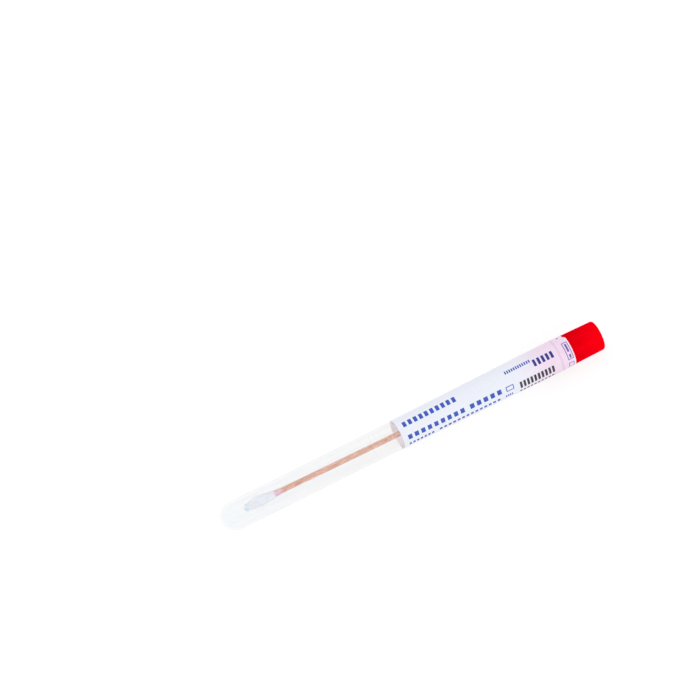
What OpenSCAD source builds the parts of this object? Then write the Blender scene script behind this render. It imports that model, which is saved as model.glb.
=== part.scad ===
// Specimen swab tube: a round-bottomed clear tube with a push-in cap that carries a
// wooden swab, and a printed film label that runs on over the cap as a seal.
// The tube lies along X with its cap towards +X and rests on the plane Z = 0.

/* [Tube] */
// Length of the tube from the outside of its bottom to its mouth
tube_len = 150; // [120:1:200]
// Outside diameter of the straight lower stem
stem_d = 12; // [10:0.1:16]
// Length of the stem that keeps that diameter, from the bottom
stem_len = 46; // [30:1:60]
// Growth of the outside diameter from the stem to the start of the flare
draft_growth = 0.1; // [0:0.05:0.4]
// Length of the flare below the mouth collar
flare_len = 46; // [10:1:50]
// Growth of the outside diameter along the flare
flare_growth = 0.8; // [0.2:0.1:2]
// Length of the straight mouth collar that the plug seals in
mouth_len = 12; // [11.5:0.5:20]
// Thickness of the side wall
wall = 1; // [0.6:0.1:1.5]
// Thickness of the bottom on the axis
bottom_t = 1.2; // [0.6:0.1:3]
// Chamfer inside the mouth
mouth_chamfer = 0.3; // [0.1:0.05:0.5]
// Height above the bottom of the raised witness ring left by the mould
mark_at = 68.7; // [50:0.1:75]
// Width of the witness ring
mark_w = 0.5; // [0.2:0.1:1]
// Height of the witness ring
mark_h = 0.05; // [0.02:0.01:0.1]

/* [Cap] */
// Length of the grip outside the tube
grip_len = 19.3; // [12:0.1:30]
// Narrowing of the grip's diameter from its rim to its end
grip_taper = 0.6; // [0:0.1:1.5]
// Corner radius at the grip's end
grip_corner = 1; // [0.3:0.1:2]
// Number of fine ribs round the grip
rib_count = 54; // [30:1:60]
// Depth of the grooves between the ribs
groove_depth = 0.12; // [0.05:0.01:0.2]
// Radius of the round grooves
groove_r = 0.3; // [0.2:0.05:0.35]
// Smooth collar left at the rim before the grooves start
rim_collar = 3; // [1:0.5:5]
// Length of the plug inside the mouth
plug_len = 11; // [7:0.5:11.5]
// Radial clearance between the plug's beads and the mouth
plug_gap = 0.05; // [0.02:0.01:0.1]
// Height of the plug's sealing beads above its skirt
bead_h = 0.15; // [0.05:0.05:0.4]
// Width of each sealing bead
bead_w = 1.6; // [1:0.1:2.5]
// Chamfer on the plug's leading edge
plug_chamfer = 0.5; // [0.2:0.1:0.8]
// Thickness of the plug's skirt
skirt_wall = 1; // [0.6:0.1:1.5]
// Thickness of the grip's end wall
end_wall = 2.5; // [1:0.1:4]
// Outside diameter of the boss that holds the stick
boss_d = 5; // [4:0.1:6]
// How far the boss stops short of the plug's open end
boss_inset = 2; // [0:0.5:5]
// Depth of the stick's socket in the boss
socket_depth = 20; // [8:0.5:22]

/* [Swab] */
// Diameter of the stick
stick_d = 2.2; // [2:0.1:3]
// Length of stick below the plug that stays straight
straight_len = 29; // [10:1:60]
// Sideways bow of the stick at the bud's tip
bow = 1; // [0.2:0.1:2]
// Free space between the bud's tip and the bottom of the tube
tip_gap = 9.3; // [2:0.1:30]
// Greatest diameter of the bud
bud_d = 4.5; // [4:0.1:6]
// Length of the bud with its winding
bud_len = 15.9; // [12:0.1:22]
// Distance from the bud's tip to its thickest point
bud_nose = 5.6; // [3:0.1:7]
// Diameter of the bud's blunt end
bud_end_d = 2.9; // [1.5:0.1:3.5]
// Length over which the blunt end rounds off
bud_round = 1.2; // [0.6:0.1:2]
// Length of the thin winding behind the bud
winding_len = 2.4; // [1:0.1:4]
// Thickness of the thin winding round the stick
winding_t = 0.12; // [0.05:0.01:0.3]
// Thickness of fibre over the end of the stick
tip_cover = 1; // [0.5:0.1:2]

/* [Label] */
// Length of the label on the tube, up to the mouth
label_len = 71.4; // [30:0.1:90]
// Length of the label's end that seals the cap
seal_len = 5.7; // [3:0.1:10]
// Thickness of the film
film_t = 0.1; // [0.05:0.01:0.2]
// Angle of the overlap's edge from the top, positive towards -Y
seam_angle = -32; // [-60:1:0]
// How far the under layer stops short of the over layer at the cap
under_short = 0.8; // [0.2:0.1:2]

/* [Print] */
// Thickness of the ink
ink_t = 0.02; // [0.01:0.01:0.05]
// Angle of the print's middle from the top, positive towards -Y
print_angle = 23; // [0:1:45]
// Line width of the printed frames
frame_line = 0.35; // [0.2:0.05:0.6]
// Share of each printed block's pitch along the tube that its ink fills
block_share = 0.62; // [0.5:0.01:0.9]

/* [Hidden] */
$fn = 96;
// Facet count for the stick's very large bow radius
BOW_FN = 7200;
// Overshoot of cutting tools
OVER = 1;
// Steps along the bud's outline
BUD_STEPS = 20;

stem_r = stem_d / 2;
waist_r = stem_r + draft_growth / 2;
mouth_r = waist_r + flare_growth / 2;
bore_r = mouth_r - wall;
mouth_at = tube_len - mouth_len;
waist_at = mouth_at - flare_len;

overall_len = tube_len + grip_len;
grip_end_r = mouth_r - grip_taper / 2;
corner_at = overall_len - grip_corner;
plug_at = tube_len - plug_len;
plug_r = bore_r - plug_gap;
skirt_r = plug_r - bead_h;
core_r = skirt_r - skirt_wall;
socket_mouth_at = plug_at + boss_inset;
socket_end_at = socket_mouth_at + socket_depth;
grip_lean = atan((mouth_r - grip_end_r) / (corner_at - tube_len));

bud_tip_at = bottom_t + tip_gap;
bud_back_at = bud_tip_at + bud_len;
bow_at = plug_at - straight_len;
bow_radius = pow(bow_at - bud_tip_at, 2) / (2 * bow);
bow_turn = asin((bow_at - bud_tip_at - tip_cover) / bow_radius);
stick_r = stick_d / 2;

label_at = tube_len - label_len;
seal_end_at = tube_len + seal_len;
rest_height = mouth_r + film_t;

// Where the skin, the outside of the tube and the grip, changes its slope
SKIN = [
    [stem_len, stem_r],
    [waist_at, waist_r],
    [mouth_at, mouth_r],
    [tube_len, mouth_r],
    [corner_at, grip_end_r]
];

// Outside radius of the tube or the grip at a height above the tube's bottom
function skin_r(z) = lookup(z, SKIN);
// Heights from a to b at which the skin needs a point
function stations(a, b) = [a, for (s = SKIN) if (s[0] > a && s[0] < b) s[0], b];
// Outline of the skin from a to b, moved outwards by lift
function skin_line(a, b, lift) = [for (z = stations(a, b)) [skin_r(z) + lift, z]];
function reversed(list) = [for (i = [len(list) - 1:-1:0]) list[i]];

// Lays what is built upright on the tube's axis down along X; angle 0 comes to the top
module lying() {
    translate([-overall_len / 2, 0, rest_height])
        rotate([0, 90, 0])
            rotate([0, 0, 180])
                children();
}

// ---- Tube ----

module tube_outline() {
    intersection() {
        translate([0, stem_r]) circle(r = stem_r);
        square([stem_r, stem_r]);
    }
    polygon(concat([[0, stem_r]], skin_line(stem_r, tube_len, 0), [[0, tube_len]]));
    polygon([
        [stem_r - wall / 2, mark_at - mark_w],
        [skin_r(mark_at), mark_at - mark_w / 2],
        [skin_r(mark_at) + mark_h, mark_at],
        [skin_r(mark_at), mark_at + mark_w / 2],
        [stem_r - wall / 2, mark_at + mark_w]
    ]);
}

module bore_outline() {
    inner_r = stem_r - wall;
    round_at = bottom_t + inner_r;
    intersection() {
        translate([0, round_at]) circle(r = inner_r);
        translate([0, bottom_t]) square([inner_r, inner_r]);
    }
    polygon(concat(
        [[0, round_at]],
        skin_line(round_at, tube_len, -wall),
        [[bore_r, tube_len + OVER], [0, tube_len + OVER]]
    ));
    polygon([
        [bore_r - OVER, tube_len - mouth_chamfer - OVER],
        [bore_r, tube_len - mouth_chamfer],
        [bore_r + mouth_chamfer, tube_len],
        [bore_r + mouth_chamfer, tube_len + OVER],
        [bore_r - OVER, tube_len + OVER]
    ]);
}

module tube() {
    color([0.93, 0.95, 0.97, 0.4])
        lying()
            rotate_extrude()
                difference() {
                    tube_outline();
                    bore_outline();
                }
}

// ---- Cap ----

module bead(middle) {
    polygon([
        [skirt_r - bead_h, middle - bead_w / 2 - bead_h],
        [skirt_r, middle - bead_w / 2],
        [plug_r, middle - bead_w / 4],
        [plug_r, middle + bead_w / 4],
        [skirt_r, middle + bead_w / 2],
        [skirt_r - bead_h, middle + bead_w / 2 + bead_h]
    ]);
}

module cap_outline() {
    polygon([
        [0, tube_len],
        [mouth_r, tube_len],
        [grip_end_r, corner_at],
        [grip_end_r - grip_corner, corner_at],
        [grip_end_r - grip_corner, overall_len],
        [0, overall_len]
    ]);
    translate([grip_end_r - grip_corner, corner_at]) circle(r = grip_corner);
    polygon([
        [0, plug_at],
        [skirt_r - plug_chamfer, plug_at],
        [skirt_r, plug_at + plug_chamfer],
        [skirt_r, tube_len],
        [0, tube_len]
    ]);
    bead(plug_at + plug_len * 0.3);
    bead(plug_at + plug_len * 0.7);
}

module core_outline() {
    difference() {
        translate([0, plug_at - OVER]) square([core_r, overall_len - end_wall - plug_at + OVER]);
        translate([0, socket_mouth_at]) square([boss_d / 2, overall_len]);
    }
    translate([0, socket_mouth_at - OVER]) square([stick_r, socket_depth + OVER]);
}

module grip_grooves() {
    for (i = [0:rib_count - 1])
        rotate([0, 0, i * 360 / rib_count])
            translate([mouth_r - groove_depth + groove_r, 0, tube_len])
                rotate([0, -grip_lean, 0])
                    translate([0, 0, rim_collar])
                        cylinder(r = groove_r, h = grip_len);
}

module cap() {
    color("red")
        lying()
            difference() {
                rotate_extrude()
                    difference() {
                        cap_outline();
                        core_outline();
                    }
                grip_grooves();
            }
}

// ---- Swab ----

// Puts its children on the tube's axis, with X as the height above the tube's bottom
module on_axis() {
    translate([-overall_len / 2, 0, rest_height]) children();
}

// Puts its children where the bud's back is: the tip is towards -X
module at_bud() {
    turn = asin((bow_at - bud_back_at) / bow_radius);
    on_axis()
        translate([bud_back_at, bow_radius * (1 - cos(turn)), 0])
            rotate([0, 0, -turn])
                children();
}

// Straight from the socket to bow_at, then one tangent arc towards +Y out to the tip
module stick_rod() {
    on_axis() {
        translate([bow_at, 0, 0])
            rotate([0, 90, 0])
                cylinder(r = stick_r, h = socket_end_at - bow_at);
        translate([bow_at, 0, 0])
            rotate([180, 0, 0])
                rotate([0, 0, 90])
                    translate([-bow_radius, 0, 0])
                        rotate_extrude(angle = bow_turn, $fn = BOW_FN)
                            translate([bow_radius, 0])
                                circle(r = stick_r, $fn = 48);
    }
}

module stick() {
    color("burlywood") stick_rod();
}

// Radius of the bud at a distance from its tip: a blunt end that swells to the thickest
// point, then a full shoulder that falls away to the winding
function bud_r(s) =
    let (tail_r = stick_r + winding_t)
    let (end_r = bud_end_d / 2)
    let (blunt = pow(1 - pow(1 - min(s / bud_round, 1), 2.4), 1 / 2.4))
    let (swell = 0.5 - 0.5 * cos(180 * s / bud_nose))
    let (fall = (s - bud_nose) / (bud_len - winding_len - bud_nose))
    s < bud_nose
        ? blunt * (end_r + (bud_d / 2 - end_r) * swell)
        : tail_r + (bud_d / 2 - tail_r) * pow(max(1 - fall * fall, 0), 0.7);

// Distances from the tip, closer together on the blunt nose
function bud_station(i) = (bud_len - winding_len) * pow(i / BUD_STEPS, 1.6);

module bud() {
    color("whitesmoke")
        difference() {
            at_bud()
                rotate([0, -90, 0])
                    rotate_extrude()
                        polygon(concat(
                            [[0, bud_len]],
                            [for (i = [0:BUD_STEPS]) [bud_r(bud_station(i)), bud_len - bud_station(i)]],
                            [[stick_r + winding_t, 0], [0, 0]]
                        ));
            stick_rod();
        }
}

// ---- Label ----

// Moves to the axis of the over layer, which climbs by one film thickness up to the seam
module over_layer() {
    translate(film_t / 2 * [cos(seam_angle), sin(seam_angle), 0]) children();
}

// A sector of the skin from height a to b, solid from the axis out to lift above the skin
module skin_sector(a, b, lift, start, turn) {
    rotate([0, 0, start])
        rotate_extrude(angle = turn)
            polygon(concat([[0, a]], skin_line(a, b, lift), [[0, b]]));
}

// Film wound once round the skin from height a to b, its over layer ending at the seam
module film(a, b) {
    difference() {
        union() {
            skin_sector(a, b, film_t, seam_angle - 180, 180);
            over_layer() skin_sector(a, b, film_t * 1.5, seam_angle, 180);
        }
        skin_sector(a - OVER, b + OVER, 0, 0, 360);
        children();
    }
}

module label() {
    color("white")
        lying()
            film(label_at, tube_len)
                rotate_extrude() tube_outline();
}

// Cuts the under layer back at the cap, from nothing opposite the seam to under_short beside it
module under_layer_cut() {
    reach = 2 * mouth_r;
    rotate([0, 0, seam_angle])
        translate([0, 0, seal_end_at - under_short / 2])
            rotate([0, atan(under_short / 2 / mouth_r), 0])
                translate([-reach, -reach, 0])
                    cube([2 * reach, reach, reach]);
}

module seal_band() {
    color("white")
        lying()
            film(tube_len, seal_end_at)
                under_layer_cut();
}

// ---- Print ----

// One block of ink on the over layer, from height a to b; middle and span are angles
module ink(a, b, middle, span) {
    inner = skin_line(a, b, film_t * 1.5);
    outer = skin_line(a, b, film_t * 1.5 + ink_t);
    over_layer()
        rotate([0, 0, print_angle + middle - span / 2])
            rotate_extrude(angle = span)
                polygon(concat(inner, reversed(outer)));
}

// A word's place: a run of count plain blocks that fills the height from a to b
module ink_word(count, a, b, middle, span) {
    pitch = (b - a) / (count - 1 + block_share);
    for (i = [0:count - 1])
        ink(a + i * pitch, a + (i + block_share) * pitch, middle, span);
}

// A printed frame, open in the middle
module ink_frame(a, b, middle, span) {
    line_span = frame_line / mouth_r * 180 / PI;
    open_span = span - 2 * line_span;
    difference() {
        ink(a, b, middle, span);
        over_layer()
            skin_sector(
                a + frame_line,
                b - frame_line,
                film_t * 1.5 + OVER,
                print_angle + middle - open_span / 2,
                open_span
            );
    }
}

// Height on the label at a share of its length on the tube
function on_label(share) = label_at + share * label_len;
// Height on the seal at a share of its length
function on_seal(share) = tube_len + share * seal_len;

module blue_print() {
    color("mediumblue")
        lying() {
            ink_word(10, on_label(0.032), on_label(0.363), -24, 21);
            ink_word(9, on_label(0.032), on_label(0.385), 28, 19);
            ink_word(5, on_label(0.42), on_label(0.617), 28, 19);
            ink_word(7, on_label(0.03), on_label(0.185), 60, 12);
            ink_word(14, on_label(0.22), on_label(0.6), 60, 12);
            ink_word(12, on_label(0.676), on_label(0.834), -26, 12);
            ink_word(5, on_label(0.845), on_label(0.969), -12, 25);
            ink_frame(on_label(0.645), on_label(0.693), 30, 19);
            ink_word(4, on_label(0.635), on_label(0.68), 60, 12);
        }
}

module black_print() {
    color("black")
        lying() {
            ink_word(10, on_label(0.73), on_label(0.947), 40, 28);
            ink_word(10, on_label(0.725), on_label(0.94), 70, 10);
        }
}

module seal_print() {
    color("slateblue")
        lying() {
            ink_frame(on_seal(0.46), on_seal(0.9), 2, 66);
            ink(on_seal(0.62), on_seal(0.76), -9, 30);
            ink(on_seal(0.62), on_seal(0.76), 22, 14);
            ink_frame(on_seal(0.44), on_seal(0.86), 60, 24);
        }
}

tube();
cap();
stick();
bud();
label();
seal_band();
blue_print();
black_print();
seal_print();
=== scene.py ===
"""Looks for the specimen swab tube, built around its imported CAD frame.

The tube lies along X with its cap towards +X. Places on it are given as a height in millimetres
above the tube's round bottom and an angle in degrees from the top, positive towards -Y.
"""

import math

import bpy
import numpy as np
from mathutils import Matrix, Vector


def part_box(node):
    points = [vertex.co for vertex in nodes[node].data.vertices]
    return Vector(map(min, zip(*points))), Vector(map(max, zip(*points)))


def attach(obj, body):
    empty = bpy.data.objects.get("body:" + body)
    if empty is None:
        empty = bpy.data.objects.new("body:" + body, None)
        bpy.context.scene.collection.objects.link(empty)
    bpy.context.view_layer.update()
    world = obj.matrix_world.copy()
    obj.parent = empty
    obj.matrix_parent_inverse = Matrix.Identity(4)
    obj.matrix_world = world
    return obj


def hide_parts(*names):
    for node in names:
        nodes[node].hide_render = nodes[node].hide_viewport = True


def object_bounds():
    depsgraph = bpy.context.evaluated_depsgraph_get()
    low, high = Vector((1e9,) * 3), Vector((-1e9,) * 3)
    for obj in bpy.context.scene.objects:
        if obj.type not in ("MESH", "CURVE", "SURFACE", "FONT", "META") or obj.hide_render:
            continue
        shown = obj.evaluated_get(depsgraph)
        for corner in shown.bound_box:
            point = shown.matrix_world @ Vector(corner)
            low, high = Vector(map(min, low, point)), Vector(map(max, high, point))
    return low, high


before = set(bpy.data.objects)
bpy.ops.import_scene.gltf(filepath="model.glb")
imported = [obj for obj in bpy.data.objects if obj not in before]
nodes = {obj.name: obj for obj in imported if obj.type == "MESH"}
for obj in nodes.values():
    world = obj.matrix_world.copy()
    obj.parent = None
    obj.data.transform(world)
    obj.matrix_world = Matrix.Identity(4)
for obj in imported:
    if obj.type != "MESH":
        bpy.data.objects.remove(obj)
cad_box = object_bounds()
rng = np.random.default_rng(7)

MM = 0.001
TUBE_LO, TUBE_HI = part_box("tube")
BOTTOM_X = TUBE_LO.x
AXIS_Z = (TUBE_LO.z + TUBE_HI.z) / 2
MOUTH = (TUBE_HI.x - BOTTOM_X) / MM
LABEL_AT = (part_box("label")[0].x - BOTTOM_X) / MM
SEAL_END = (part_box("seal_band")[1].x - BOTTOM_X) / MM
GRIP_END = (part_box("cap")[1].x - BOTTOM_X) / MM

# Film: its thickness, the angle of its over layer's edge, how far the under layer stops short
# of the over layer on the cap, and a middling outside radius for lengths round it
FILM = 0.1
SEAM = -32.0
UNDER_SHORT = 0.8
FILM_R = 6.6

# Bud and stick: heights, lengths and radii, and the height from which the stick bows
BUD_TIP, BUD_LEN, BUD_NOSE, BUD_ROUND, WINDING = 10.5, 15.9, 5.6, 1.2, 2.4
BUD_R, BUD_END_R, STICK_R, TAIL_R = 2.25, 1.45, 1.1, 1.22
BOW, BOW_AT = 1.0, 110.0
BOW_RADIUS = (BOW_AT - BUD_TIP) ** 2 / (2 * BOW)

# Outside radius of the tube and the grip at heights above the bottom
SKIN_H = [46.0, 92.0, 138.0, 150.0, 168.3]
SKIN_R = [6.0, 6.05, 6.45, 6.45, 6.15]


def skin(h):
    """Outside radius of the tube, or of the grip beyond it, at a height."""
    return np.interp(h, SKIN_H, SKIN_R)


def place(h, radius, angle):
    """Points in the row frame, in metres, at a height, a radius and an angle."""
    h, radius, angle = np.broadcast_arrays(h, radius, np.radians(angle))
    return np.stack(
        [
            BOTTOM_X + h * MM,
            -radius * np.sin(angle) * MM,
            AXIS_Z + radius * np.cos(angle) * MM,
        ],
        -1,
    )


def make_mesh(name, points, faces):
    """A smoothly shaded object of its own from points in metres and faces."""
    mesh = bpy.data.meshes.new(name)
    mesh.from_pydata([tuple(p) for p in points], [], [tuple(f) for f in faces])
    mesh.validate()
    mesh.update()
    mesh.polygons.foreach_set("use_smooth", [True] * len(mesh.polygons))
    obj = bpy.data.objects.new(name, mesh)
    bpy.context.scene.collection.objects.link(obj)
    return obj


def grid_faces(rows, columns, start=0, closed=False, flip=False):
    """Quads of a grid whose points run column by column within each row."""
    wide = columns if closed else columns - 1
    faces = []
    for i in range(rows - 1):
        for j in range(wide):
            a = start + i * columns + j
            b = start + i * columns + (j + 1) % columns
            quad = (a, b, b + columns, a + columns)
            faces.append(quad[::-1] if flip else quad)
    return faces


def dress(obj, *materials):
    """Gives an object its materials, in place of any that it has."""
    obj.data.materials.clear()
    for material in materials:
        obj.data.materials.append(material)


def sharpen(obj, angle=35.0):
    """Keeps edges sharper than the angle crisp under smooth shading."""
    mesh = obj.data
    with_faces = {}
    for p in mesh.polygons:
        for key in p.edge_keys:
            with_faces.setdefault(key, []).append(p.normal)
    limit = math.cos(math.radians(angle))
    for e in mesh.edges:
        sides = with_faces.get(e.key, [])
        e.use_edge_sharp = len(sides) == 2 and sides[0].dot(sides[1]) < limit


# ---- Materials ----


class Nodes:
    """Short calls to build the node tree of a material or of the world."""

    def __init__(self, owner, out="OutputMaterial"):
        self.owner = owner
        self.owner.use_nodes = True
        self.tree = self.owner.node_tree
        self.tree.nodes.clear()
        self.out = self.add(out)
        self.coordinates = self.add("TexCoord").outputs["Object"]

    def add(self, kind, inputs=None, **properties):
        node = self.tree.nodes.new("ShaderNode" + kind)
        for key, value in properties.items():
            setattr(node, key, value)
        for key, value in (inputs or {}).items():
            if isinstance(value, bpy.types.NodeSocket):
                self.tree.links.new(value, node.inputs[key])
            else:
                node.inputs[key].default_value = value
        return node

    def scaled(self, x, y, z, turn=(0, 0, 0)):
        """Coordinates in millimetres, scaled along each axis."""
        return self.add(
            "Mapping",
            {"Vector": self.coordinates, "Scale": (x / MM, y / MM, z / MM), "Rotation": turn},
        ).outputs[0]

    def noise(self, vector, scale=1.0, detail=2.0, roughness=0.5):
        return self.add(
            "TexNoise",
            {"Vector": vector, "Scale": scale, "Detail": detail, "Roughness": roughness},
        ).outputs["Fac"]

    def ramp(self, value, stops):
        """Colours of a value: stops are (place, colour)."""
        node = self.add("ValToRGB", {"Fac": value})
        ramp = node.color_ramp
        while len(ramp.elements) < len(stops):
            ramp.elements.new(0.5)
        for element, (at, colour) in zip(ramp.elements, stops):
            element.position = at
            element.color = colour
        return node.outputs["Color"]

    def span(self, value, low, high, to_low=0.0, to_high=1.0, kind="LINEAR"):
        return self.add(
            "MapRange",
            {
                "Value": value,
                "From Min": low,
                "From Max": high,
                "To Min": to_low,
                "To Max": to_high,
            },
            interpolation_type=kind,
        ).outputs[0]

    def math(self, operation, a, b=0.0, c=0.0):
        node = self.add("Math", operation=operation)
        for socket, value in zip(node.inputs, (a, b, c)):
            if isinstance(value, bpy.types.NodeSocket):
                self.tree.links.new(value, socket)
            else:
                socket.default_value = value
        return node.outputs[0]

    def mix(self, factor, a, b, blend="MIX"):
        node = self.add("Mix", data_type="RGBA", blend_type=blend)
        for index, value in ((0, factor), (6, a), (7, b)):
            if isinstance(value, bpy.types.NodeSocket):
                self.tree.links.new(value, node.inputs[index])
            else:
                node.inputs[index].default_value = value
        return node.outputs[2]

    def bump(self, height, distance, strength=1.0, normal=None):
        inputs = {"Height": height, "Distance": distance * MM, "Strength": strength}
        if normal is not None:
            inputs["Normal"] = normal
        return self.add("Bump", inputs).outputs[0]

    def along(self):
        """Height above the tube's bottom, in millimetres."""
        x = self.add("SeparateXYZ", {"Vector": self.coordinates}).outputs[0]
        return self.math("MULTIPLY_ADD", x, 1 / MM, -BOTTOM_X / MM)

    def seen(self):
        """1 for what the camera sees: by itself, in a gloss or through a clear body."""
        path = self.add("LightPath").outputs
        seen = self.math("MAXIMUM", path["Is Camera Ray"], path["Is Glossy Ray"])
        return self.math("MAXIMUM", seen, path["Is Transmission Ray"])

    def finish(self, shader):
        self.tree.links.new(shader, self.out.inputs["Surface"])
        return self.owner

    def lets_lamps_through(self, shader, colour, scattered=False):
        """The shader, seen as it is, with a Transparent one for rays towards lamps and, for a film
        that glows through, for light scattered from other surfaces."""
        clear = self.add("BsdfTransparent", {"Color": colour}).outputs[0]
        path = self.add("LightPath").outputs
        if scattered:
            shader = self.add("MixShader", {0: path["Is Diffuse Ray"], 1: shader, 2: clear}).outputs[0]
        return self.add("MixShader", {0: path["Is Shadow Ray"], 1: shader, 2: clear}).outputs[0]


def material_nodes(name):
    return Nodes(bpy.data.materials.new(name))


def srgb(r, g, b):
    """Linear colour of an sRGB one given from 0 to 255."""

    def one(c):
        c /= 255
        return c / 12.92 if c <= 0.04045 else ((c + 0.055) / 1.055) ** 2.4

    return (one(r), one(g), one(b), 1.0)


def clear_plastic(name, alpha, light=1.0, streaked=1.0):
    """Clear moulded polypropylene: a wall that you see through, with a faint haze and lengthwise streaks.

    light scales the haze's colour, which turns from blue at the dome to grey at the waist, and
    streaked is the share of the streaks in it: partly lines from the moulding, partly painted reflections."""
    n = material_nodes(name)
    flow_and_reflection = n.noise(n.scaled(0.012, 0.9, 0.9), detail=3, roughness=0.6)
    haze = n.noise(n.scaled(0.25, 0.25, 0.25), detail=2)
    dome, body, waist = (
        tuple(c * light for c in colour) + (1,)
        for colour in ((0.53, 0.62, 0.68), (0.56, 0.585, 0.62), (0.56, 0.58, 0.57))
    )
    # Lighter and darker lengthwise streaks: partly lines from the moulding, partly painted reflections
    # along the wall
    streaks = n.ramp(flow_and_reflection, [(at, (c, c, c, 1)) for at, c in ((0.36, 0.6), (0.5, 0.94), (0.62, 1.4))])
    tint = n.mix(n.span(n.along(), 0, 45), dome, n.mix(n.span(n.along(), 50, 75), body, waist))
    shader = n.add(
        "BsdfPrincipled",
        {
            "Base Color": n.mix(streaked, tint, streaks, "MULTIPLY"),
            "Roughness": n.span(haze, 0.3, 0.7, 0.08, 0.14),
            "IOR": 1.49,
            "Alpha": alpha,
        },
    ).outputs[0]
    return n.finish(n.lets_lamps_through(shader, (0.992, 0.993, 0.995, 1)))


def film(name):
    """White label film: satin, faintly mottled, and thin enough for the red behind to tint it."""
    n = material_nodes(name)
    height = n.along()
    mottle = n.noise(n.scaled(0.8, 0.8, 0.8), detail=4, roughness=0.6)
    fibre = n.noise(n.scaled(3, 3, 3), detail=2)
    waves = n.noise(n.scaled(0.12, 0.3, 0.3), detail=1)
    white = n.mix(mottle, srgb(230, 233, 242), srgb(240, 241, 249))
    # The plug shows as pink through the film; the gap between tube and cap gets a darker line of painted
    # shade
    pink = n.mix(mottle, srgb(239, 208, 230), srgb(245, 221, 239))
    near_plug = n.span(height, MOUTH - 22, MOUTH - 2, kind="SMOOTHSTEP")
    share = n.math("MULTIPLY", near_plug, n.span(waves, 0.3, 0.7, 0.7, 1.0))
    tinted = n.mix(share, white, pink)
    from_gap = n.math("ABSOLUTE", n.math("SUBTRACT", height, MOUTH))
    # Painted shade: a darker pink line along the gap at the tube's mouth
    lined = n.mix(n.span(from_gap, 0.15, 0.6, 0.55, 0.0), tinted, srgb(226, 186, 212))
    # The seal's end is whiter: partly film left untinted at its edge, partly a painted edge highlight
    untinted_and_highlit_edge = n.mix(n.span(height, SEAL_END - 0.9, SEAL_END - 0.4, 0.0, 0.8), lined, srgb(246, 242, 248))
    bump = n.bump(fibre, 0.01, 0.25, n.bump(waves, 0.25, 0.3))
    shader = n.add(
        "BsdfPrincipled",
        {
            "Base Color": untinted_and_highlit_edge,
            "Roughness": n.span(mottle, 0.3, 0.7, 0.42, 0.52),
            "IOR": 1.46,
            "Specular IOR Level": 0.35,
            "Normal": bump,
        },
    ).outputs[0]
    return n.finish(n.lets_lamps_through(shader, (0.95, 0.925, 0.94, 1), True))


def film_back():
    """The film's gummed side, seen through the clear tube."""
    n = material_nodes("film_back")
    mottle = n.noise(n.scaled(0.6, 0.6, 0.6), detail=3)
    shader = n.add(
        "BsdfPrincipled",
        {
            "Base Color": n.mix(mottle, srgb(253, 243, 247), srgb(255, 248, 251)),
            "Roughness": 0.6,
            "Specular IOR Level": 0.2,
        },
    ).outputs[0]
    return n.finish(n.lets_lamps_through(shader, (0.99, 0.98, 0.99, 1), True))


def ink(name, colour):
    """Flexographic ink: a thin, slightly uneven coat."""
    n = material_nodes(name)
    grain = n.noise(n.scaled(6, 6, 6), detail=3, roughness=0.65)
    thin = tuple(c + 0.10 for c in colour[:3]) + (1,)
    shader = n.add(
        "BsdfPrincipled",
        {
            "Base Color": n.mix(n.span(grain, 0.45, 0.75), colour, thin),
            "Roughness": n.span(grain, 0.3, 0.7, 0.35, 0.5),
            "Specular IOR Level": 0.3,
            "Normal": n.bump(grain, 0.01, 0.2),
        },
    ).outputs[0]
    return n.finish(shader)


def red_plastic():
    """Moulded red polyethylene: satin, with a fine grain, and painted brighter towards its end, for light
    that glows through its thin end wall.
    """
    n = material_nodes("red_plastic")
    cloud = n.noise(n.scaled(0.18, 0.18, 0.18), detail=2)
    grain = n.noise(n.scaled(9, 9, 9), detail=2)
    # Painted light: the red brightens towards the end, for the glow through the end wall
    painted_glow_to_end = n.span(n.along(), SEAL_END, GRIP_END)
    red = n.ramp(
        painted_glow_to_end,
        [
            (0.0, srgb(216, 0, 14)),
            (0.4, srgb(228, 0, 14)),
            (0.75, srgb(241, 0, 16)),
            (1.0, srgb(250, 0, 16)),
        ],
    )
    shader = n.add(
        "BsdfPrincipled",
        {
            "Base Color": n.mix(n.span(cloud, 0.35, 0.65, 0, 0.25), red, srgb(240, 0, 24)),
            "Metallic": 0.4,
            "Roughness": n.span(cloud, 0.3, 0.7, 0.32, 0.4),
            "Specular IOR Level": 0.0,
            "Specular Tint": (1.0, 0.0, 0.4, 1),
            "Sheen Weight": 0.55,
            "Sheen Roughness": 0.3,
            "Sheen Tint": (1.0, 0.0, 0.35, 1),
            "Normal": n.bump(grain, 0.012, 0.3),
        },
    ).outputs[0]
    return n.finish(shader)


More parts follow.
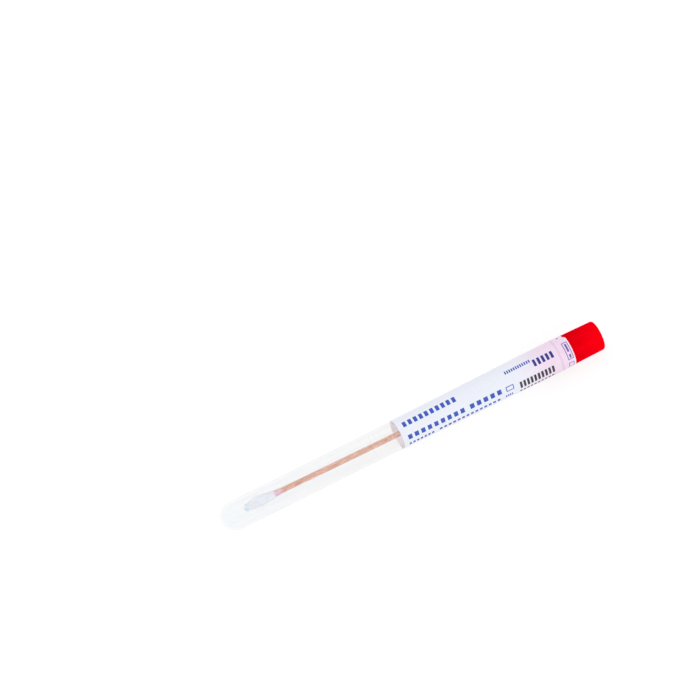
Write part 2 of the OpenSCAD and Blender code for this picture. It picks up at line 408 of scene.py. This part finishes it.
def stick_wood():
    """Birch dowel: pale streaks along the grain, darker fibre lines and fine pores."""
    n = material_nodes("stick_wood")
    streak = n.noise(n.scaled(0.12, 1.8, 1.8), detail=4, roughness=0.6)
    fibre = n.noise(n.scaled(0.3, 7, 7), detail=3, roughness=0.6)
    blotch = n.noise(n.scaled(0.75, 4.2, 4.2), detail=4, roughness=0.65)
    pores = n.noise(n.scaled(0.9, 9, 9), detail=1)
    base = n.ramp(
        streak,
        [(0.3, srgb(224, 160, 136)), (0.5, srgb(239, 184, 161)), (0.7, srgb(249, 204, 182))],
    )
    lined = n.mix(n.span(fibre, 0.5, 0.7, 0, 0.5), base, srgb(176, 118, 94))
    spotted = n.mix(n.span(blotch, 0.5, 0.58, 0, 0.75), lined, srgb(192, 122, 96))
    tinted = n.mix(n.span(blotch, 0.48, 0.38, 0, 0.85), spotted, srgb(250, 224, 211))
    pitted = n.mix(n.span(pores, 0.62, 0.74, 0, 0.5), tinted, srgb(136, 82, 62))
    height = n.math("ADD", fibre, n.math("MULTIPLY", pores, 0.5))
    shader = n.add(
        "BsdfPrincipled",
        {
            "Base Color": pitted,
            "Roughness": n.span(streak, 0.3, 0.7, 0.6, 0.75),
            "Specular IOR Level": 0.3,
            "Normal": n.bump(height, 0.04, 0.6),
        },
    ).outputs[0]
    return n.finish(shader)


def bud_fibre(name):
    """Wound rayon: near white and cool, pink where the last turns grip the wood."""
    n = material_nodes(name)
    strand = n.noise(n.scaled(0.7, 4, 4, (0, 0, 0.25)), detail=4, roughness=0.7)
    turns = n.noise(n.scaled(3.2, 1.2, 1.2, (0, 0, 0.5)), detail=2, roughness=0.6)
    puff = n.noise(n.scaled(0.5, 0.9, 0.9), detail=3)
    white = n.mix(n.span(strand, 0.4, 0.58), srgb(242, 243, 249), srgb(255, 255, 255))
    shaded = n.mix(n.span(puff, 0.35, 0.7, 0, 0.5), white, srgb(238, 239, 250))
    pink = n.mix(n.span(turns, 0.4, 0.6), srgb(232, 168, 186), srgb(248, 224, 232))
    back_at = BUD_TIP + BUD_LEN
    at_wood = n.span(n.along(), back_at - WINDING - 0.7, back_at - WINDING + 0.4, kind="SMOOTHSTEP")
    wrapped = n.mix(at_wood, shaded, pink)
    # A faint painted teal highlight on the bud's nose
    glint_at = place(BUD_TIP + 0.6, 1.35, 66.0) + np.array([0, BOW * MM, 0])
    from_glint = n.add("VectorMath", {0: n.coordinates, 1: tuple(glint_at)}, operation="DISTANCE")
    fading = n.span(from_glint.outputs["Value"], 0.1 * MM, 1.2 * MM, 0.5, 0.0)
    with_painted_glint = n.mix(fading, wrapped, srgb(150, 204, 230))
    shader = n.add(
        "BsdfPrincipled",
        {
            "Base Color": with_painted_glint,
            "Roughness": 0.85,
            "Specular IOR Level": 0.2,
            "Sheen Weight": 0.6,
            "Sheen Roughness": 0.5,
            "Normal": n.bump(strand, 0.02, 0.5),
        },
    ).outputs[0]
    return n.finish(shader)


TUBE_MATERIAL = clear_plastic("clear_plastic", 0.1)
BORE_MATERIAL = clear_plastic("clear_bore", 0.018)
# The moulded ring's haze is 1.5 times lighter: a painted highlight along its ridge
RING_MATERIAL = clear_plastic("clear_ring", 0.17, 1.5, 0.1)
LABEL_MATERIAL = film("label_film")
SEAL_MATERIAL = film("seal_film")
BACK_MATERIAL = film_back()
BLUE = ink("blue_ink", srgb(36, 78, 180))
NAVY = ink("navy_ink", srgb(28, 32, 130))
BLACK = ink("black_ink", srgb(36, 34, 44))
VIOLET = ink("violet_ink", srgb(104, 88, 170))
RED = red_plastic()
WOOD = stick_wood()


# ---- CAD nodes that stay as they are ----

dress(nodes["cap"], RED)
dress(nodes["stick"], WOOD)


# ---- Tube ----

WALL, BOTTOM_T, STEM_R = 1.0, 1.2, 6.0
RING_AT, RING_RISE = 68.7, 0.05
# The moulded ring's section: steps along the tube, and shares of its rise
RING_SECTION = ((-0.6, 0), (-0.25, 0), (-0.12, 0.6), (0, 1), (0.12, 0.6), (0.25, 0), (0.6, 0))
LEAD_IN = ((0.0, 5.75), (-0.3, 5.45))


def lathe(name, profile, segments):
    """Turns an outline of (height, radius) points, which starts and ends on the axis, round it."""
    angle = np.linspace(0, 360, segments, endpoint=False)
    ring = np.array(profile[1:-1])
    points = place(ring[:, 0][:, None], ring[:, 1][:, None], angle[None, :]).reshape(-1, 3)
    ends = place(np.array([profile[0][0], profile[-1][0]]), 0.0, 0.0)
    rows = len(ring)
    faces = grid_faces(rows, segments, 0, True)
    first, last = rows * segments, rows * segments + 1
    for j in range(segments):
        k = (j + 1) % segments
        faces.append((first, k, j))
        faces.append((last, (rows - 1) * segments + j, (rows - 1) * segments + k))
    return make_mesh(name, np.concatenate([points, ends]), faces)


def tube_profile():
    """The wall's outline: up its outside from the bottom, over the mouth and down the bore."""
    quarter = np.radians(np.linspace(0, 90, 28))
    outside = [(STEM_R - STEM_R * math.cos(q), STEM_R * math.sin(q)) for q in quarter]
    outside += [(h, float(skin(h))) for h in np.linspace(9, 150, 95) if abs(h - RING_AT) > 1]
    outside += [(RING_AT + step, float(skin(RING_AT)) + rise * RING_RISE) for step, rise in RING_SECTION]
    outside.sort(key=lambda p: (p[0], p[1]))
    mouth_r = float(skin(MOUTH))
    outside[-1] = (MOUTH - 0.08, mouth_r)
    outside += [(MOUTH - 0.02, mouth_r - 0.03), (MOUTH, mouth_r - 0.08)]
    bore = STEM_R - WALL
    inside = [(MOUTH + step, radius) for step, radius in LEAD_IN]
    inside += [(h, float(skin(h)) - WALL) for h in np.linspace(MOUTH - 1.5, 9, 90)]
    inside += [(BOTTOM_T + bore - bore * math.cos(q), bore * math.sin(q)) for q in quarter[::-1]]
    return outside + inside


tube_wall = lathe("tube_wall", tube_profile(), 240)
dress(tube_wall, TUBE_MATERIAL, BORE_MATERIAL, RING_MATERIAL)
for face in tube_wall.data.polygons:
    out = face.center - Vector((max(face.center.x, BOTTOM_X + STEM_R * MM), 0, AXIS_Z))
    on_ring = abs(face.center.x - BOTTOM_X - RING_AT * MM) < 0.2 * MM
    face.material_index = 1 if face.normal.dot(out) < 0 else 2 if on_ring else 0
sharpen(tube_wall, 25)
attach(tube_wall, "tube_body")
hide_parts("tube")


# ---- Label film ----


def film_lift(angle):
    """Height of the film's outside above the skin: the over layer climbs towards the seam."""
    turn = np.mod(np.asarray(angle, float) - SEAM, 360.0)
    return np.where(turn < 180, 1.5 * FILM + 0.5 * FILM * np.cos(np.radians(turn)), FILM)


def joint_crease(h):
    """The film dips a little where the tube's mouth meets the cap's rim, and swells beyond it."""
    dip = -0.035 * np.exp(-(((h - MOUTH) / 0.22) ** 2))
    return dip + 0.012 * np.exp(-(((h - MOUTH - 0.6) / 0.4) ** 2))


# Angles past the seam, closer together beside it, for the over layer and the under layer
OVER_TURNS = np.concatenate([[0.0, 0.12, 0.5, 1.2, 2.2, 3.5, 5.0, 6.8, 8.9], np.arange(11, 180, 2.5)])
UNDER_TURNS = np.concatenate([np.arange(180, 356, 2.5), [357.5, 358.8, 359.5]])
EDGE_WIDTH, EDGE_DROP = 0.05, 0.02
FILM_GAP = 0.004


def film_piece(name, body, low, high, corner, fracs, material):
    """A closed turn of film between heights low and high, with its over layer ending at the seam.

    Where it has a rounded corner, the under layer also stops short beside the seam."""
    over = SEAM + OVER_TURNS
    under = SEAM + UNDER_TURNS
    angle = np.concatenate([over, under])
    lift = film_lift(angle)
    lift[0] = FILM * 0.98
    lift[1] -= 0.015
    lift[len(over) :] = FILM
    arc = np.radians(angle - SEAM) * FILM_R
    end = np.full(len(angle), high)
    if corner:
        near = (arc < corner) & (np.arange(len(angle)) < len(over))
        end[near] = high - corner + np.sqrt(np.maximum(corner**2 - (corner - arc[near]) ** 2, 0))
        turn = np.radians(angle[len(over) :] - SEAM)
        end[len(over) :] = high - UNDER_SHORT / 2 * (1 + np.cos(turn))
    h = low + (end - low)[None, :] * fracs[:, None]
    round_it = np.radians(angle)
    wave = 0.006 * np.sin(h / 5.3 + round_it * 3) + 0.004 * np.sin(h / 2.1 - round_it * 5)
    outer = skin(h) + lift + joint_crease(h) + wave * (lift > 0.09)
    inner = skin(h) + FILM_GAP
    edge = np.minimum(np.minimum(h - low, end - h) / EDGE_WIDTH, 1.0)
    outer = outer - EDGE_DROP * (1 - edge)
    # The end at the cap's rim stays full, since the film runs on there
    outer[0 if corner else -1] += EDGE_DROP
    rows, columns = h.shape
    points = np.concatenate(
        [place(h, outer, angle).reshape(-1, 3), place(h, inner, angle).reshape(-1, 3)]
    )
    n = rows * columns
    faces = grid_faces(rows, columns, 0, True)
    back = grid_faces(rows, columns, n, True, True)
    ends = []
    for j in range(columns):
        k = (j + 1) % columns
        ends.append((k, j, n + j, n + k))
        last = (rows - 1) * columns
        ends.append((last + j, last + k, n + last + k, n + last + j))
    obj = make_mesh(name, points, faces + back + ends)
    dress(obj, material, BACK_MATERIAL)
    for i in range(len(faces), len(faces) + len(back)):
        obj.data.polygons[i].material_index = 1
    sharpen(obj)
    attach(obj, body)
    return obj


# Shares of each piece's length at which it has rows of points
LABEL_ROWS = np.unique(
    np.concatenate([[0, 0.0003, 0.0008], np.linspace(0, 1, 72), np.linspace(0.985, 1, 12)])
)
SEAL_ROWS = np.unique(np.concatenate([np.linspace(0, 0.2, 10), np.linspace(0.2, 1, 22), [0.99, 0.996]]))
label_film = film_piece(
    "label_film", "tube_body", LABEL_AT, MOUTH, 0, LABEL_ROWS, LABEL_MATERIAL
)
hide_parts("label")
seal_film = film_piece(
    "seal_film", "swab_body", MOUTH, SEAL_END, 1.0, SEAL_ROWS, SEAL_MATERIAL
)
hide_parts("seal_band")


# ---- Print ----

PRINT_ANGLE = 23.0
INK, INK_BITE = 0.018, 0.004
BLOCK_SHARE = 0.62
# Shares of a block's length at which it has rows of points
BLOCK_ROWS = np.array([0, 0.04, 0.5, 0.96, 1.0])


class Print:
    """Gathers patches of ink on the film into one piece."""

    def __init__(self):
        self.points, self.faces, self.kinds, self.count = [], [], [], 0

    def patch(self, low, high, middle, span, kind=0, corner=0.12):
        """A block of ink with softly rounded corners, between two heights and round an angle."""
        degrees = 180 / math.pi / FILM_R
        wide = span / degrees
        r = min(corner, wide / 2.5, (high - low) / 2.5)
        inner = np.arange(r, wide - r + 1e-6, max(0.25, (wide - 2 * r) / 24))
        across = np.concatenate([[0, 0.3 * r, 0.65 * r], inner, [wide - 0.65 * r, wide - 0.3 * r, wide]])
        across = np.unique(np.round(across, 5))
        from_edge = np.minimum(np.minimum(across, wide - across), r)
        trim = r - np.sqrt(np.maximum(r * r - (r - from_edge) ** 2, 0))
        h = (low + trim) + (high - low - 2 * trim) * BLOCK_ROWS[:, None]
        angle = PRINT_ANGLE + middle - span / 2 + across * degrees
        lift = np.full_like(h, INK)
        lift[0] = lift[-1] = -INK_BITE
        lift[:, 0] = lift[:, -1] = -INK_BITE
        under = skin(h) + film_lift(angle)
        self.add(place(h, under + lift, angle), place(h, under - INK_BITE, angle), kind)

    def add(self, top, under, kind):
        """Closes a block: its upper and under sides share the points of the rim."""
        rows, columns = top.shape[:2]
        inside = np.zeros((rows, columns), bool)
        inside[1:-1, 1:-1] = True
        below = np.arange(rows * columns).reshape(rows, columns)
        below[inside] = rows * columns + np.arange(inside.sum())
        below = (below.ravel() + self.count).tolist()
        faces = grid_faces(rows, columns, self.count)
        faces += [tuple(below[i] for i in face) for face in grid_faces(rows, columns, 0, False, True)]
        self.points += [top.reshape(-1, 3), under[inside]]
        self.faces += faces
        self.kinds += [kind] * len(faces)
        self.count += rows * columns + int(inside.sum())

    def word(self, count, low, high, middle, span, kind=0):
        """A word's place: a run of plain blocks between two heights."""
        pitch = (high - low) / (count - 1 + BLOCK_SHARE)
        for i in range(count):
            self.patch(low + i * pitch, low + (i + BLOCK_SHARE) * pitch, middle, span, kind)

    def box(self, low, high, middle, span, line=0.35, kind=0):
        """A printed frame, open in the middle."""
        side = math.degrees(line / FILM_R)
        self.patch(low, low + line, middle, span, kind, 0.03)
        self.patch(high - line, high, middle, span, kind, 0.03)
        for turn in (-1, 1):
            at = middle + turn * (span - side) / 2
            self.patch(low + line * 0.9, high - line * 0.9, at, side, kind, 0.03)

    def finish(self, name, body, slot, materials, stands_for):
        """The patches as one object on a body, in place of a CAD node."""
        obj = make_mesh(name, np.concatenate(self.points), self.faces)
        dress(obj, *materials)
        obj.data.polygons.foreach_set("material_index", self.kinds)
        sharpen(obj, 100)
        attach(obj, body)
        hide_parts(stands_for)
        return obj


def on_label(share):
    """Height on the label at a share of its length on the tube."""
    return LABEL_AT + share * (MOUTH - LABEL_AT)


def on_seal(share):
    """Height on the seal at a share of its length."""
    return MOUTH + share * (SEAL_END - MOUTH)


blue = Print()
blue.word(10, on_label(0.032), on_label(0.363), -24, 21)
blue.word(9, on_label(0.032), on_label(0.385), 28, 19)
blue.word(5, on_label(0.42), on_label(0.617), 28, 19)
blue.word(7, on_label(0.03), on_label(0.185), 60, 12)
blue.word(14, on_label(0.22), on_label(0.6), 60, 12)
blue.word(12, on_label(0.676), on_label(0.834), -26, 12)
blue.word(5, on_label(0.845), on_label(0.969), -12, 25, 1)
blue.box(on_label(0.645), on_label(0.693), 30, 19)
blue.word(4, on_label(0.635), on_label(0.68), 60, 12)
blue.finish("blue_blocks", "tube_body", "blue_ink", [BLUE, NAVY], "blue_print")

black = Print()
black.word(10, on_label(0.73), on_label(0.947), 40, 28)
black.word(10, on_label(0.725), on_label(0.94), 70, 10)
black.finish("black_blocks", "tube_body", "black_ink", [BLACK], "black_print")

violet = Print()
violet.box(on_seal(0.46), on_seal(0.9), 2, 66, 0.3)
violet.patch(on_seal(0.62), on_seal(0.76), -9, 30)
violet.patch(on_seal(0.62), on_seal(0.76), 22, 14)
violet.box(on_seal(0.44), on_seal(0.86), 60, 24, 0.3)
# A dot of the under layer's print
violet.patch(on_seal(0.42), on_seal(0.58), SEAM - PRINT_ANGLE - 11, 7)
violet.finish("seal_blocks", "swab_body", "violet_ink", [VIOLET], "seal_print")


# ---- Bud ----


def bow_line(h):
    """Sideways place, towards +Y, of the stick's middle at a height, in millimetres."""
    back = np.maximum(BOW_AT - np.asarray(h, float), 0)
    return BOW_RADIUS - np.sqrt(BOW_RADIUS**2 - back**2)


def bud_radius(s):
    """Radius of the bud at a distance from its tip: a blunt end, a swelling and a full shoulder."""
    s = np.clip(s, 0, BUD_LEN)
    blunt = (1 - (1 - np.clip(s / BUD_ROUND, 0, 1)) ** 2.4) ** (1 / 2.4)
    swell = 0.5 - 0.5 * np.cos(np.pi * np.clip(s / BUD_NOSE, 0, 1))
    nose = blunt * (BUD_END_R + (BUD_R - BUD_END_R) * swell)
    fall = np.clip((s - BUD_NOSE) / (BUD_LEN - WINDING - BUD_NOSE), 0, 1)
    tail = TAIL_R + (BUD_R - TAIL_R) * (1 - fall**2) ** 0.7
    return np.where(s < BUD_NOSE, nose, tail)


def bud_place(s, angle, lift=0.0):
    """Points on the bud, in the row frame, in metres; its soft nose leans a little to one side."""
    s, angle, lift = np.broadcast_arrays(np.asarray(s, float), angle, lift)
    turn = (BOW_AT - BUD_TIP - BUD_LEN) / BOW_RADIUS
    back = s - BUD_LEN
    radius = bud_radius(s) + lift
    h = BUD_TIP + BUD_LEN + back * math.cos(turn)
    lean = 0.3 * np.clip(1 - s / 7, 0, 1) ** 2
    side = bow_line(BUD_TIP + BUD_LEN) - back * math.sin(turn) - lean
    return np.stack(
        [
            BOTTOM_X + h * MM,
            (side - radius * np.sin(angle)) * MM,
            AXIS_Z + radius * np.cos(angle) * MM,
        ],
        -1,
    )


def wound(s, angle):
    """Relief of the wound fibre: soft folds that run round the bud at a steep slant."""
    slant = angle * 1.0 + s * 0.16
    relief = 0.055 * np.sin(3 * slant + 1.3) + 0.035 * np.sin(7 * slant - s * 0.5)
    relief = relief + 0.02 * np.sin(17 * angle + s * 1.9) + 0.014 * np.sin(29 * angle - s * 1.3)
    fade = np.clip(s / 1.5, 0, 1) * np.clip((BUD_LEN - s) / 3.0, 0.1, 1)
    return (relief - 0.05) * fade


def make_bud():
    """The bud's closed skin, from its tip to a foot sunk into the stick."""
    rows, columns = 110, 96
    s = BUD_LEN * np.linspace(0.01, 1, rows) ** 1.5
    angle = np.linspace(0, 2 * np.pi, columns, endpoint=False)
    grid_s, grid_a = np.meshgrid(s, angle, indexing="ij")
    points = bud_place(grid_s, grid_a, wound(grid_s, grid_a)).reshape(-1, 3)
    tip = bud_place(np.array([0.0]), np.array([0.0]), np.array([0.0]))
    foot = bud_place(np.full(columns, BUD_LEN), angle, np.full(columns, STICK_R - TAIL_R - 0.03))
    middle = bud_place(np.array([BUD_LEN]), np.array([0.0]), np.array([-TAIL_R]))
    points = np.concatenate([points, tip, foot, middle])
    faces = grid_faces(rows, columns, 0, True)
    top = rows * columns
    faces += [((j + 1) % columns, j, top) for j in range(columns)]
    last = (rows - 1) * columns
    for j in range(columns):
        k = (j + 1) % columns
        faces.append((last + j, last + k, top + 1 + k, top + 1 + j))
        faces.append((top + 1 + j, top + 1 + k, top + 1 + columns))
    obj = make_mesh("bud_fibre", points, faces)
    dress(obj, bud_fibre("bud_fibre"))
    return obj


def make_fibres(count):
    """Single fibres that wander over the bud and lift a little from it."""
    points, faces = [], []
    sides, steps = 3, 9
    for _ in range(count):
        start = rng.uniform(0.15, BUD_LEN - 0.6)
        length = rng.uniform(1.5, 5.0)
        slant = rng.normal(0, 0.35)
        t = np.linspace(0, 1, steps)
        s = np.clip(start + length * (t - 0.5) * math.cos(slant), 0.05, BUD_LEN - 0.1)
        girth = np.maximum(bud_radius(s), 0.9)
        turned = np.cumsum(np.full(steps, length / steps * math.sin(slant)) / girth)
        angle = rng.uniform(0, 2 * np.pi) + turned
        angle = angle + 0.06 * np.sin(t * rng.uniform(2, 7) + rng.uniform(0, 6))
        loose = rng.exponential(0.05)
        lift = wound(s, angle) + 0.012 + min(loose, 0.22) * np.sin(np.pi * t) ** 2
        if rng.random() < 0.12:
            lift = lift + rng.uniform(0.05, 0.25) * t**3
        line = bud_place(s, angle, lift)
        thick = rng.uniform(0.010, 0.018) * MM
        ahead = np.gradient(line, axis=0)
        ahead /= np.linalg.norm(ahead, axis=1, keepdims=True) + 1e-12
        side = np.cross(ahead, [0.3, 0.5, 0.8])
        side /= np.linalg.norm(side, axis=1, keepdims=True) + 1e-12
        up = np.cross(ahead, side)
        base = len(points) * steps * sides
        turn = np.arange(sides) * 2 * np.pi / sides
        ring = (
            line[:, None, :]
            + thick * np.cos(turn)[None, :, None] * side[:, None, :]
            + thick * np.sin(turn)[None, :, None] * up[:, None, :]
        )
        points.append(ring.reshape(-1, 3))
        faces += grid_faces(steps, sides, base, True)
        faces.append(tuple(base + sides - 1 - i for i in range(sides)))
        faces.append(tuple(base + (steps - 1) * sides + i for i in range(sides)))
    obj = make_mesh("bud_strands", np.concatenate(points), faces)
    dress(obj, bud_fibre("bud_strand"))
    return obj


bud = make_bud()
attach(bud, "swab_body")
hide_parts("bud")
strands = make_fibres(260)
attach(strands, "swab_body")


# ---- Stage, light and camera ----

HALF_FLOOR, FLOOR_Z = 6.0, -0.00005
CORNERS = ((-1, -1), (1, -1), (1, 1), (-1, 1))
floor = make_mesh("floor", [(x * HALF_FLOOR, y * HALF_FLOOR, FLOOR_Z) for x, y in CORNERS], [(0, 1, 2, 3)])


def floor_material():
    """White paper that keeps a soft shadow, and shows nearly white to the camera and in glass."""
    n = material_nodes("floor")
    paper = n.noise(n.scaled(0.02, 0.02, 0.02), detail=2)
    white = n.mix(paper, (0.92, 0.92, 0.92, 1), (0.94, 0.94, 0.94, 1))
    matte = n.add("BsdfDiffuse", {"Color": white}).outputs[0]
    soft = n.add("BsdfDiffuse", {"Color": (0.22, 0.22, 0.22, 1)}).outputs[0]
    glow = n.add("Emission", {"Color": (1, 1, 1, 1), "Strength": 0.82}).outputs[0]
    shown = n.add("AddShader", {0: soft, 1: glow}).outputs[0]
    return n.finish(n.add("MixShader", {0: n.seen(), 1: matte, 2: shown}).outputs[0])


dress(floor, floor_material())

world = bpy.data.worlds.new("studio")
bpy.context.scene.world = world
n = Nodes(world, "OutputWorld")
white = n.add("Background", {"Color": (1, 1, 1, 1), "Strength": 1.0}).outputs[0]
lit = n.add("Background", {"Color": (0.97, 0.985, 1, 1), "Strength": 0.79}).outputs[0]
n.finish(n.add("MixShader", {0: n.seen(), 1: lit, 2: white}).outputs[0])


def area_light(name, place, size, power):
    """A rectangular lamp of a width and a height in metres, turned towards the origin."""
    data = bpy.data.lights.new(name, "AREA")
    data.shape = "RECTANGLE"
    data.size, data.size_y = size
    data.energy = power
    obj = bpy.data.objects.new(name, data)
    bpy.context.scene.collection.objects.link(obj)
    obj.location = place
    obj.rotation_mode = "QUATERNION"
    obj.rotation_quaternion = (-Vector(place)).to_track_quat("-Z", "Y")
    return obj


area_light("key", (0.31, -1.19, 0.81), (1.3, 1.0), 5.3)
area_light("fill", (-0.6, 0.85, 0.95), (1.2, 1.2), 4.6)

# A long lens from far off, looking down from above the round end's near side
AZIMUTH, ELEVATION, DISTANCE = math.radians(-28.84), math.radians(64.0), 3.824
AIM_RIGHT, AIM_UP = -0.023954, 0.030668

camera_data = bpy.data.cameras.new("camera")
camera_data.lens = 500.0
camera_data.sensor_width = 36.0
camera_data.clip_start, camera_data.clip_end = 0.05, 20.0
camera = bpy.data.objects.new("camera", camera_data)
bpy.context.scene.collection.objects.link(camera)
back = Vector(
    (
        math.sin(AZIMUTH) * math.cos(ELEVATION),
        -math.cos(AZIMUTH) * math.cos(ELEVATION),
        math.sin(ELEVATION),
    )
)
right = Vector((math.cos(AZIMUTH), math.sin(AZIMUTH), 0))
up = back.cross(right)
middle = (cad_box[0] + cad_box[1]) / 2
aim = middle + right * AIM_RIGHT + up * AIM_UP
camera.location = aim + back * DISTANCE
camera.rotation_mode = "QUATERNION"
camera.rotation_quaternion = (-back).to_track_quat("-Z", "Y")
bpy.context.scene.camera = camera

bpy.context.scene.view_settings.view_transform = "Standard"
# Sight passes up to ten clear walls and films
bpy.context.scene.cycles.transparent_max_bounces = 24
bpy.context.view_layer.update()
